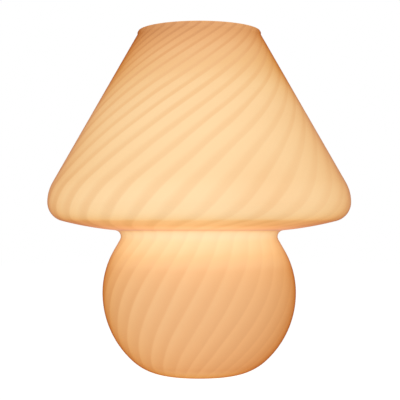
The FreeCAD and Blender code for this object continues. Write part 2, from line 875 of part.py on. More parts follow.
def bulb_housing():
    """The bulb's flared plastic housing, with a spigot in the cap and a ledge for the light board."""
    spigot = d.thread_core - d.screw_cap_wall - d.bulb_gap
    bore = spigot - d.housing_wall
    foot = d.screw_cap_height
    return turned("bulb_housing", [
        Corner(bore, bulb_at(foot - d.housing_spigot)),
        Corner(spigot, bulb_at(foot - d.housing_spigot)),
        Corner(spigot, bulb_at(foot)),
        Corner(d.housing_foot, bulb_at(foot)),
        Corner(seam_radius, bulb_at(d.housing_height)),
        Corner(seat_radius, bulb_at(d.housing_height)),
        Corner(seat_radius, bulb_at(board_level)),
        Corner(seat_radius - d.led_ledge, bulb_at(board_level)),
        Corner(bore, bulb_at(foot)),
    ])


def bulb_globe():
    """The bulb's thin diffusing globe, standing on the housing's rim."""
    middle = (size(0), bulb_at(globe_middle))
    inner = d.globe_radius - d.globe_wall
    inner_seam = root(inner * inner - seam_rise * seam_rise)
    seam = bulb_at(d.housing_height)
    return turned("bulb_globe", [
        Corner(inner_seam, seam, inner, middle, -1),
        Corner(seam_radius, seam),
        Corner(0, bulb_at(d.bulb_height), d.globe_radius, middle, 1),
        Corner(0, bulb_at(d.bulb_height - d.globe_wall)),
    ])


def led_board():
    """Round aluminium board that carries the light chips."""
    level = bulb_at(board_level)
    return cylinder("led_board", seat_radius - d.bulb_gap, d.led_board_height, 0, 0, level)


def led_chips():
    """Square light chips in a ring on the board."""
    chips = []
    top = bulb_at(board_level + d.led_board_height)
    for index in range(DIMENSIONS["led_count"]):
        angle = size(360 * index) / d.led_count
        x = d.led_circle * cos(angle) - d.led_width / 2
        y = d.led_circle * sin(angle) - d.led_width / 2
        chips.append(block("chip_" + str(index + 1), d.led_width, d.led_width, d.led_height, x, y, top))
    return group("bulb_led_chips", chips)


def driver_board():
    """Upright circuit board that hangs from the light board."""
    x, y = -d.driver_width / 2, -d.driver_height / 2
    level = bulb_at(board_level - d.driver_length)
    return block("driver_board", d.driver_width, d.driver_height, d.driver_length, x, y, level)


def driver_capacitor():
    """Round capacitor that lies against the driver board."""
    y = d.driver_height / 2 + d.capacitor_radius + d.bulb_gap
    level = bulb_at(board_level - d.driver_part_drop - d.capacitor_length)
    return cylinder("driver_capacitor", d.capacitor_radius, d.capacitor_length, 0, y, level)


def driver_coil():
    """Square choke on the other face of the driver board."""
    x, y = -d.coil_width / 2, -d.driver_height / 2 - d.coil_depth
    level = bulb_at(board_level - d.driver_part_drop - d.coil_width)
    return block("driver_coil", d.coil_width, d.coil_depth, d.coil_width, x, y, level)


keep(bulb_contact_tip(), "bulb_contact_tip")
keep(bulb_glaze(), "bulb_cap_insulator")
keep(bulb_screw_cap(), "bulb_screw_cap")
keep(bulb_housing(), "bulb_housing")
keep(bulb_globe(), "bulb_globe")
keep(led_board(), "bulb_led_board")
keep(led_chips(), "bulb_led_chips")
keep(driver_board(), "bulb_driver_board")
keep(driver_capacitor(), "bulb_driver_capacitor")
keep(driver_coil(), "bulb_driver_coil")


# Lead bush -----------------------------------------------------------------------------------

def lead_bush():
    """Rubber bush in the glass wall, whose outer flange has a narrower lip that grips the lead.

    Heights run out from the centre of the belly's lower arc.
    """
    outside = d.belly_lower_arc + d.bush_seat_gap
    inside = d.belly_lower_arc - d.glass_wall - d.bush_seat_gap
    neck = d.lead_hole_radius - d.thread_gap
    bush = turned("lead_bush", [
        Corner(d.bush_relief, inside - d.bush_flange),
        Corner(d.bush_flange_radius, inside - d.bush_flange),
        Corner(d.bush_flange_radius, inside),
        Corner(neck, inside),
        Corner(neck, outside),
        Corner(d.bush_flange_radius, outside),
        Corner(d.bush_flange_radius, outside + d.bush_flange),
        Corner(d.bush_bore, outside + d.bush_flange),
        Corner(d.bush_bore, outside),
        Corner(d.bush_relief, outside),
    ])
    return lead_axis(bush, size(0))


keep(lead_bush(), "lead_bush")


# Checks and files ----------------------------------------------------------------------------

def check_document():
    """Stops where any object failed or any sub-part has no sound shape."""
    doc.recompute()
    for item in doc.Objects:
        if "Invalid" in item.State or "Error" in item.State:
            raise RuntimeError("failed object: " + item.Name)
    for item in parts:
        if item.Shape.isNull() or not item.Shape.isValid() or item.Shape.Volume <= 0:
            raise RuntimeError("bad shape: " + item.Label)


check_document()
os.makedirs("parts", exist_ok=True)
for item in parts:
    item.Shape.exportStep("parts/" + item.Label + ".step")
    print(item.Label, len(item.Shape.Solids), "solid(s)", round(item.Shape.Volume, 1), "mm3")
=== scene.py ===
"""Looks of the mushroom table lamp: a blown glass body with a painted glow, over its bulb, holder and
foot hardware.

Everything is in metres, in the lamp's own frame: the origin is the centre of its base on the table,
+Z is up and -Y is the front. The glass is one body of revolution with swirling milky stripes, open
at the top, and the bulb inside it is lit. The bulb's light through the glass is painted into the
glass's emission as a glow.
"""

import json
import logging
import math
from dataclasses import dataclass
from enum import Enum
from functools import partialmethod
from typing import Mapping, Sequence, Union

import bmesh
import bpy
import numpy as np
from bpy.types import ID, Material, Mesh, Modifier, Node, NodeSocket, Object
from mathutils import Matrix, Vector

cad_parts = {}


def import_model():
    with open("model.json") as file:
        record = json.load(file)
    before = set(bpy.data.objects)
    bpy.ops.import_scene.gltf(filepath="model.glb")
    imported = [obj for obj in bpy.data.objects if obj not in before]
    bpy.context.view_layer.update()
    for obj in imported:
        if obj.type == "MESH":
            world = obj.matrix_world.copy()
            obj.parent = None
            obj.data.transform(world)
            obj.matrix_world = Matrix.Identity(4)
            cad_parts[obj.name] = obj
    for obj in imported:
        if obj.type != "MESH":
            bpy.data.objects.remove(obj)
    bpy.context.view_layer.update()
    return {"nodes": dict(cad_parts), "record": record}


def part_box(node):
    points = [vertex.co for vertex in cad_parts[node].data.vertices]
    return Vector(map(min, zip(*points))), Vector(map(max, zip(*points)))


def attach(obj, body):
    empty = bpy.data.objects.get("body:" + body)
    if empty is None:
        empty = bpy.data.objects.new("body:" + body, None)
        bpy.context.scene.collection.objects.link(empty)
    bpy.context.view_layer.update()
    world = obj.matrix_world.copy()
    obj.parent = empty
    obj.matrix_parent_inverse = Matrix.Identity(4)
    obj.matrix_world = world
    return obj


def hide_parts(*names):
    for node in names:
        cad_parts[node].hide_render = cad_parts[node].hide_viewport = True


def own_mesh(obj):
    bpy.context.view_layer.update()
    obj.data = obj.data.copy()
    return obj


LOG = logging.getLogger("mushroom_lamp")
FULL_TURN = 2 * math.pi

Colour = tuple[float, float, float]
Point = tuple[float, float, float]
Place = tuple[float, float]
Places = tuple[Place, ...]
Stops = Sequence[tuple[float, Colour]]
Feed = Union["Wire", Node, NodeSocket, float, int, bool, Sequence[float]]


class Body(Enum):
    """Bodies of the lamp that the pieces made here move with."""

    LAMP = "lamp_body"
    BULB = "bulb"


class Slot(Enum):
    """Material slots of the lamp's record."""

    OPAL_GLASS = "opal_glass"
    CLEAR_RUBBER = "clear_rubber"
    BLACK_RUBBER = "black_rubber"
    ZINC_STEEL = "zinc_steel"
    BRASS = "brass"
    HOLDER_PLASTIC = "holder_plastic"
    PORCELAIN = "porcelain"
    NICKEL = "nickel"
    SPRING_STEEL = "spring_steel"
    BUSH_RUBBER = "lead_bush_rubber"
    BULB_PLASTIC = "bulb_plastic"
    BULB_OPAL = "bulb_opal"
    DARK_GLAZE = "dark_glaze"
    BULB_BOARD = "bulb_board"
    PHOSPHOR = "phosphor"
    CIRCUIT_BOARD = "circuit_board"
    CAPACITOR_SLEEVE = "capacitor_sleeve"
    COIL_FERRITE = "coil_ferrite"


def add(name: str, data: ID) -> Object:
    """Puts a new object into the scene, at the origin.

    Args:
        name: the object's name.
        data: its mesh, light or camera.

    Returns:
        The object.
    """
    made = bpy.data.objects.new(name, data)
    bpy.context.scene.collection.objects.link(made)
    return made


def settle(piece: Object, modifier: Modifier) -> Mesh:
    """Runs a piece's modifier and then removes it.

    Args:
        piece: the piece.
        modifier: its only modifier.

    Returns:
        The plain mesh that the modifier made.
    """
    graph = bpy.context.evaluated_depsgraph_get()
    mesh = bpy.data.meshes.new_from_object(piece.evaluated_get(graph))
    piece.modifiers.remove(modifier)
    return mesh


# Node trees


class Wire:
    """A number that flows between nodes, so that sums on it can be written as Python expressions."""

    def __init__(self, graph: "Graph", socket: NodeSocket) -> None:
        """Wraps one output socket of a graph."""
        self.graph = graph
        self.socket = socket

    def maths(self, operation: str, *others: Feed) -> "Wire":
        """One Math node on this wire and up to two other values."""
        return self.graph.maths(operation, self, *others)

    def from_middle(self) -> "Wire":
        """Distance from the middle of each whole step: 0 there, and 0.5 where two steps meet."""
        return self.maths("FRACT").maths("SUBTRACT", 0.5).maths("ABSOLUTE")

    def _after(self, operation: str, other: Feed) -> "Wire":
        """One Math node with this wire as its second value."""
        return self.graph.maths(operation, other, self)

    __add__ = partialmethod(maths, "ADD")
    __radd__ = partialmethod(_after, "ADD")
    __sub__ = partialmethod(maths, "SUBTRACT")
    __rsub__ = partialmethod(_after, "SUBTRACT")
    __mul__ = partialmethod(maths, "MULTIPLY")
    __rmul__ = partialmethod(_after, "MULTIPLY")
    __truediv__ = partialmethod(maths, "DIVIDE")
    __pow__ = partialmethod(maths, "POWER")


class Graph:
    """A node tree while it is built."""

    def __init__(self, tree: bpy.types.NodeTree) -> None:
        """Starts on an empty tree."""
        self.tree = tree

    def node(
        self,
        kind: str,
        settings: Mapping[str, object] | None = None,
        inputs: Mapping[str | int, Feed] | None = None,
    ) -> Node:
        """Adds one node.

        Args:
            kind: the node's type.
            settings: its properties, set before its sockets; "stops" are a colour ramp's stops.
            inputs: values or links for its sockets, by name or number.

        Returns:
            The node.
        """
        made = self.tree.nodes.new(kind)
        for name, value in (settings or {}).items():
            if name == "stops":
                self._set_stops(made.color_ramp, value)
            else:
                setattr(made, name, value)
        for key, value in (inputs or {}).items():
            self.feed(made.inputs[key], value)
        return made

    @staticmethod
    def _set_stops(ramp: bpy.types.ColorRamp, stops: Stops) -> None:
        """Gives a colour ramp its stops.

        Args:
            ramp: the ramp of a new node.
            stops: places in rising order, each with its colour.
        """
        while len(ramp.elements) < len(stops):
            ramp.elements.new(1.0)
        for element, (place, colour) in zip(ramp.elements, stops):
            element.position, element.color = place, (*colour, 1)

    def feed(self, socket: NodeSocket, value: Feed) -> None:
        """Links a socket or sets its own value.

        Args:
            socket: the socket.
            value: a wire, another socket, a node whose first output is meant, or a plain value.
        """
        if isinstance(value, Wire):
            value = value.socket
        elif isinstance(value, Node):
            value = value.outputs[0]
        if isinstance(value, NodeSocket):
            self.tree.links.new(value, socket)
        elif socket.type == "RGBA":
            socket.default_value = (*value, 1)
        else:
            socket.default_value = value

    def wire(self, node: Node, output: str | int = 0) -> Wire:
        """One output of a node as a wire."""
        return Wire(self, node.outputs[output])

    def maths(self, operation: str, *values: Feed) -> Wire:
        """A Math node on up to three values."""
        return self.wire(self.node("ShaderNodeMath", {"operation": operation}, dict(enumerate(values))))


class Shading(Graph):
    """The node tree of one material."""

    def __init__(self, name: str) -> None:
        """Starts a new material.

        Args:
            name: its name.
        """
        self.material = bpy.data.materials.new(name)
        self.material.use_nodes = True
        super().__init__(self.material.node_tree)
        self.tree.nodes.clear()
        self.places = self.node("ShaderNodeTexCoord").outputs["Object"]

    def finish(self, shader: Feed) -> Material:
        """Sends a shader to the output and returns the material."""
        self.node("ShaderNodeOutputMaterial", inputs={"Surface": shader})
        return self.material

    def attribute(self, name: str) -> Wire:
        """A number stored on the piece's own points."""
        return self.wire(self.node("ShaderNodeAttribute", {"attribute_name": name}), "Fac")

    def axes(self, vector: Feed | None = None) -> tuple[Wire, Wire, Wire]:
        """x, y and z of a vector, or else of the object coordinates."""
        parts = self.node("ShaderNodeSeparateXYZ", inputs={0: vector or self.places})
        return self.wire(parts, 0), self.wire(parts, 1), self.wire(parts, 2)

    def noise(self, scale: float, detail: float = 2.0, where: Feed | None = None) -> Wire:
        """Noise from 0 to 1, on the object coordinates unless told where."""
        sockets = {"Vector": where or self.places, "Scale": scale, "Detail": detail}
        return self.wire(self.node("ShaderNodeTexNoise", inputs=sockets), "Fac")

    def span(self, value: Wire, source: Place, target: Place = (0.0, 1.0)) -> Wire:
        """Maps a range of a value smoothly to another.

        Args:
            value: the value.
            source: the two ends of the range that it has.
            target: what it becomes at each end.

        Returns:
            The new value.
        """
        ends = dict(zip(("From Min", "From Max", "To Min", "To Max"), (*source, *target)))
        settings = {"interpolation_type": "SMOOTHSTEP"}
        return self.wire(self.node("ShaderNodeMapRange", settings, {"Value": value, **ends}))

    def blend(self, factor: Feed, first: Feed, second: Feed) -> NodeSocket:
        """Mixes two colours."""
        sockets = {0: factor, 6: first, 7: second}
        return self.node("ShaderNodeMix", {"data_type": "RGBA"}, sockets).outputs[2]

    def ramp(self, value: Wire, stops: Stops) -> NodeSocket:
        """A colour ramp on a value."""
        return self.node("ShaderNodeValToRGB", {"stops": stops}, {"Fac": value}).outputs["Color"]

    def level(self, value: Wire, stops: Places) -> Wire:
        """A ramp of plain numbers on a value."""
        return Wire(self, self.ramp(value, [(place, (number,) * 3) for place, number in stops]))

    def bump(self, height: Wire, distance: float) -> Node:
        """A bump of so many metres."""
        return self.node("ShaderNodeBump", inputs={"Height": height, "Distance": distance})


class Recipe(Graph):
    """A Geometry Nodes tree with named inputs, applied to a piece and then removed from it."""

    KINDS = {int: "NodeSocketInt", float: "NodeSocketFloat"}

    def __init__(self, name: str, sizes: Mapping[str, float]) -> None:
        """Makes the tree with one input for each size and one for the material.

        Args:
            name: the tree's name.
            sizes: each named input and its value.
        """
        super().__init__(bpy.data.node_groups.new(name, "GeometryNodeTree"))
        self.sizes = dict(sizes)
        kinds = {label: self.KINDS[type(value)] for label, value in sizes.items()}
        kinds = {"Geometry": "NodeSocketGeometry", **kinds, "Material": "NodeSocketMaterial"}
        for label, kind in kinds.items():
            self.tree.interface.new_socket(label, in_out="INPUT", socket_type=kind)
        self.tree.interface.new_socket("Geometry", in_out="OUTPUT", socket_type="NodeSocketGeometry")
        self.entry = self.node("NodeGroupInput")

    def given(self, label: str) -> NodeSocket:
        """One of the tree's inputs."""
        return self.entry.outputs[label]

    def bar(self, path: Feed, sides: int, radius: Feed) -> Node:
        """A round bar along a curve, closed at its ends.

        Args:
            path: the curve.
            sides: number of sides round the bar.
            radius: the bar's radius.

        Returns:
            The node that makes it.
        """
        outline = {"Resolution": sides, "Radius": radius}
        circle = self.node("GeometryNodeCurvePrimitiveCircle", inputs=outline)
        sockets = {"Curve": path, "Profile Curve": circle, "Fill Caps": True}
        return self.node("GeometryNodeCurveToMesh", inputs=sockets)

    def close(self, geometry: Feed) -> None:
        """Ends the tree: smooth faces, real geometry, one material.

        Args:
            geometry: what the tree has made.
        """
        smooth = self.node("GeometryNodeSetShadeSmooth", inputs={0: geometry})
        real = self.node("GeometryNodeRealizeInstances", inputs={0: smooth})
        sockets = {0: real, "Material": self.given("Material")}
        self.node("NodeGroupOutput", inputs={0: self.node("GeometryNodeSetMaterial", inputs=sockets)})

    def apply(self, name: str, finish: Material, base: Mesh | None = None) -> Object:
        """Runs the tree.

        Args:
            name: the new piece's name.
            finish: the piece's material.
            base: the mesh that the tree starts from, if it needs one.

        Returns:
            An object at the origin with a plain mesh and no modifier.
        """
        piece = add(name, base or bpy.data.meshes.new(name + "_base"))
        modifier = piece.modifiers.new("recipe", "NODES")
        modifier.node_group = self.tree
        values = {**self.sizes, "Material": finish}
        for item in self.tree.interface.items_tree:
            if item.in_out == "INPUT" and item.name in values:
                modifier[item.identifier] = values[item.name]
        mesh = settle(piece, modifier)
        mesh.name = name
        mesh.materials.clear()
        mesh.materials.append(finish)
        piece.data = mesh
        return piece


class Lathe(Recipe):
    """Turns a section round the lamp's axis."""

    TIE = 0.00001
    SHARP = math.radians(38)

    def __init__(self, segments: int) -> None:
        """Builds the tree.

        Args:
            segments: number of segments round the axis.
        """
        super().__init__("Lathe", {"Segments": segments})
        section = self.node("GeometryNodeMeshToCurve", inputs={0: self.given("Geometry")})
        outline = {"Resolution": self.given("Segments"), "Radius": 1.0}
        circle = self.node("GeometryNodeCurvePrimitiveCircle", inputs=outline)
        upright = self.node("GeometryNodeSetCurveNormal", {"mode": "Z_UP"}, {0: circle})
        swept = self.node("GeometryNodeCurveToMesh", inputs={"Curve": upright, "Profile Curve": section})
        self.close(self.node("GeometryNodeMergeByDistance", inputs={0: swept, "Distance": self.TIE}))

    def turn(
        self,
        name: str,
        section: Sequence[Place],
        finish: Material,
        closed: bool = True,
        marks: Mapping[str, Sequence[float]] | None = None,
    ) -> Object:
        """Turns one section.

        Args:
            name: the new piece's name.
            section: radii and heights in metres, with the material on the left of the way round.
            finish: the piece's material.
            closed: whether the last point joins the first, as on a ring.
            marks: numbers that each point of the section carries into the mesh.

        Returns:
            The turned piece.
        """
        last = len(section) - 1
        base = bpy.data.meshes.new(name + "_section")
        joins = [(place, place + 1) for place in range(last)] + [(last, 0)] * closed
        points = [(radius - 1.0, -height, 0.0) for radius, height in reversed(section)]
        base.from_pydata(points, joins, [])
        for label, values in (marks or {}).items():
            stored = base.attributes.new(label, "FLOAT", "POINT")
            stored.data.foreach_set("value", values[::-1])
        piece = self.apply(name, finish, base)
        piece.data.set_sharp_from_angle(angle=self.SHARP)
        return piece


# Glass


@dataclass
class GlassSection:
    """Section of the one-piece glass, from the foot over the belly, crease and lip to the rim."""

    wall: float = 0.0035
    foot: float = 0.0012
    height: float = 0.3588
    rim_radius: float = 0.0647
    rim_collar: float = 0.00225
    lip_radius: float = 0.1579
    lip_height: float = 0.1798
    lip_upper_arc: float = 0.0415
    lip_lower_arc: float = 0.020
    underside_bend: float = 9.0
    neck_radius: float = 0.082
    neck_run: float = 0.0124
    crease_arc: float = 0.0065
    crease_height: float = 0.14426
    belly_radius: float = 0.1011
    belly_lower_arc: float = 0.096
    base_arc: float = 0.0576
    foot_radius: float = 0.03134
    punt_foot_radius: float = 0.023
    punt_top_radius: float = 0.016
    punt_depth: float = 0.0105
    stem_hole_radius: float = 0.0056
    step: float = 0.0026
    shortest: float = 0.0002

    @property
    def sweep(self) -> float:
        """How far the belly's lower arc turns down, in radians."""
        across = self.foot_radius - self.belly_radius + self.belly_lower_arc
        return math.acos(across / (self.belly_lower_arc - self.base_arc))

    @property
    def low(self) -> Place:
        """Centre of the belly's lower arc."""
        rise = (self.belly_lower_arc - self.base_arc) * math.sin(self.sweep)
        return self.belly_radius - self.belly_lower_arc, self.foot + self.base_arc + rise

    def arc(self, centre: Place, radius: float, start: float, end: float) -> list[Place]:
        """Points along an arc, with angles in radians.

        Args:
            centre: the arc's centre.
            radius: its radius.
            start: the angle where it starts.
            end: the angle where it ends.

        Returns:
            Points a step apart.
        """
        count = max(3, round(abs(end - start) * radius / self.step))
        angles = [start + (end - start) * place / count for place in range(count + 1)]
        return [(centre[0] + radius * math.cos(a), centre[1] + radius * math.sin(a)) for a in angles]

    def run(self, start: Place, end: Place) -> list[Place]:
        """Points a step apart on a straight run.

        Args:
            start: where it starts.
            end: where it ends.

        Returns:
            Its points, with both ends.
        """
        count = max(1, round(math.dist(start, end) / self.step))
        ahead, up = end[0] - start[0], end[1] - start[1]
        return [
            (start[0] + ahead * step / count, start[1] + up * step / count) for step in range(count + 1)
        ]

    def face(self, depth: float) -> list[Place]:
        """One face of the wall.

        Args:
            depth: how deep it lies under the outside.

        Returns:
            Points from the foot to the rim.
        """
        low, base = self.low, (self.foot_radius, self.foot + self.base_arc)
        top = (self.lip_radius - self.lip_upper_arc, self.foot + self.lip_height)
        bottom = (self.lip_radius - self.lip_lower_arc, top[1])
        crease = (self.neck_radius + self.crease_arc, self.foot + self.crease_height)
        half_bend, quarter = math.radians(self.underside_bend / 2), math.pi / 2
        ahead, above = bottom[0] - crease[0], bottom[1] - crease[1]
        touch = (self.lip_lower_arc + self.crease_arc) * math.cos(half_bend) / math.hypot(ahead, above)
        slope = math.acos(touch) - math.atan2(ahead, above)
        start, end = slope - half_bend, slope + half_bend
        span = ahead + self.lip_lower_arc * math.sin(end) + self.crease_arc * math.sin(start)
        under_arc = span / (math.sin(end) - math.sin(start))
        reach = under_arc - self.lip_lower_arc
        under = (bottom[0] - reach * math.sin(end), bottom[1] + reach * math.cos(end))
        inset, up = crease[0] - self.belly_radius, crease[1] - low[1]
        squares = inset**2 + up**2 - self.crease_arc**2 - self.neck_run**2
        upper_arc = squares / (2 * (self.crease_arc - inset))
        high = (self.belly_radius - upper_arc, low[1])
        lean = math.atan2(up, inset + upper_arc) - math.atan2(self.neck_run, upper_arc + self.crease_arc)
        rim = self.foot + self.height - self.wall / 2
        inward, climb = self.rim_radius - top[0], rim - self.rim_collar - top[1]
        cone = math.atan2(climb, inward) - math.acos(self.lip_upper_arc / math.hypot(inward, climb))
        belly = self.arc(base, self.base_arc - depth, -quarter, -self.sweep)
        belly += self.arc(low, self.belly_lower_arc - depth, -self.sweep, 0)
        belly += self.arc(high, upper_arc - depth, 0, lean)
        fold = self.arc(crease, self.crease_arc + depth, lean - math.pi, start - 3 * quarter)
        shade = self.arc(under, under_arc - depth, start - quarter, end - quarter)
        shade += self.arc(bottom, self.lip_lower_arc - depth, end - quarter, 0)
        shade += self.arc(top, self.lip_upper_arc - depth, 0, cone)
        edge = self.rim_radius - depth
        shoulder = (edge, shade[-1][1] + (shade[-1][0] - edge) / math.tan(cone))
        ends = self.run(belly[-1], fold[0]), self.run(shade[-1], shoulder)
        collar = self.run(shoulder, (edge, rim))
        return self.tidy(belly + ends[0] + fold + shade + ends[1] + collar)

    def tidy(self, points: Sequence[Place]) -> list[Place]:
        """Drops points that fall on the one before.

        Args:
            points: the points in order.

        Returns:
            Those that are left.
        """
        kept = [points[0]]
        for point in points[1:]:
            if math.dist(point, kept[-1]) > self.shortest:
                kept.append(point)
        return kept

    def whole(self) -> tuple[list[Place], list[float], list[float]]:
        """The closed section.

        Returns:
            Its points, the share of the way from the rim to the foot at each, and 1 on the inside.
        """
        outer = self.face(0.0)
        inner = self.face(self.wall)[::-1]
        middle = (self.rim_radius - self.wall / 2, self.foot + self.height - self.wall / 2)
        rim = self.arc(middle, self.wall / 2, 0, math.pi)[1:-1]
        under = self.foot + self.punt_depth
        over = under + self.wall
        top, foot = (self.punt_top_radius, under), (self.punt_foot_radius, self.foot)
        start = self.run((self.stem_hole_radius, under), top) + self.run(top, foot)[1:]
        start += self.run(foot, outer[0])[1:-1]
        ledge = (self.punt_top_radius + self.wall, over)
        end = self.run(inner[-1], ledge)[1:] + self.run(ledge, (self.stem_hole_radius, over))[1:]
        points = start + outer + rim + inner + end
        along = [1.0] * len(start) + self.shares(outer) + [0.0] * len(rim)
        along += self.shares(inner[::-1])[::-1] + [1.0] * len(end)
        inside = [0.0] * (len(start) + len(outer)) + [0.5] * len(rim) + [1.0] * (len(inner) + len(end))
        return points, along, inside

    @staticmethod
    def shares(points: Sequence[Place]) -> list[float]:
        """Shares of the way back from the last point.

        Args:
            points: the points in order from the foot.

        Returns:
            A share for each, from 1 at the first to 0 at the last.
        """
        way = [0.0]
        for before, after in zip(points, points[1:]):
            way.append(way[-1] + math.dist(before, after))
        return [1 - done / way[-1] for done in way]

    def twist(self, leans: Places, start: float, along: Sequence[float]) -> Sequence[float]:
        """How far the stripes have turned round the lamp.

        Args:
            leans: shares of the way from the rim, and how far the stripes lean there from straight
                down, in degrees.
            start: the turn at the rim, in degrees.
            along: the shares of the way that are asked for.

        Returns:
            The turn at each of them, in radians.
        """
        outer = self.face(0.0)
        shares, outer = self.shares(outer)[::-1], outer[::-1]
        turned = [math.radians(start)]
        for share, after, point, goal in zip(shares, shares[1:], outer, outer[1:]):
            lean = math.radians(np.interp((share + after) / 2, *zip(*leans)))
            turned.append(turned[-1] - math.tan(lean) * math.dist(point, goal) / point[0])
        return np.interp(along, shares, turned)


# Finishes


def paint(red: float, green: float, blue: float) -> Colour:
    """Turns screen values into the colour that a shader needs.

    Args:
        red: the red value, on a scale where 255 is full.
        green: the green value.
        blue: the blue value.

    Returns:
        The colour without the screen's curve.
    """
    shares = (red / 255, green / 255, blue / 255)
    return tuple(s / 12.92 if s <= 0.04045 else ((s + 0.055) / 1.055) ** 2.4 for s in shares)


class Finish:
    """How one material looks. Each kind of finish says what goes into the shader."""

    def make(self, name: str) -> Material:
        """Builds the material.

        Args:
            name: its name.

        Returns:
            The material.
        """
        g = Shading(name)
        return g.finish(g.node("ShaderNodeBsdfPrincipled", inputs=self.sockets(g)))

    def sockets(self, g: Shading) -> dict[str, Feed]:
        """Says what goes into the Principled shader.

        Args:
            g: the material's tree.

        Returns:
            What each socket gets.
        """
        raise NotImplementedError


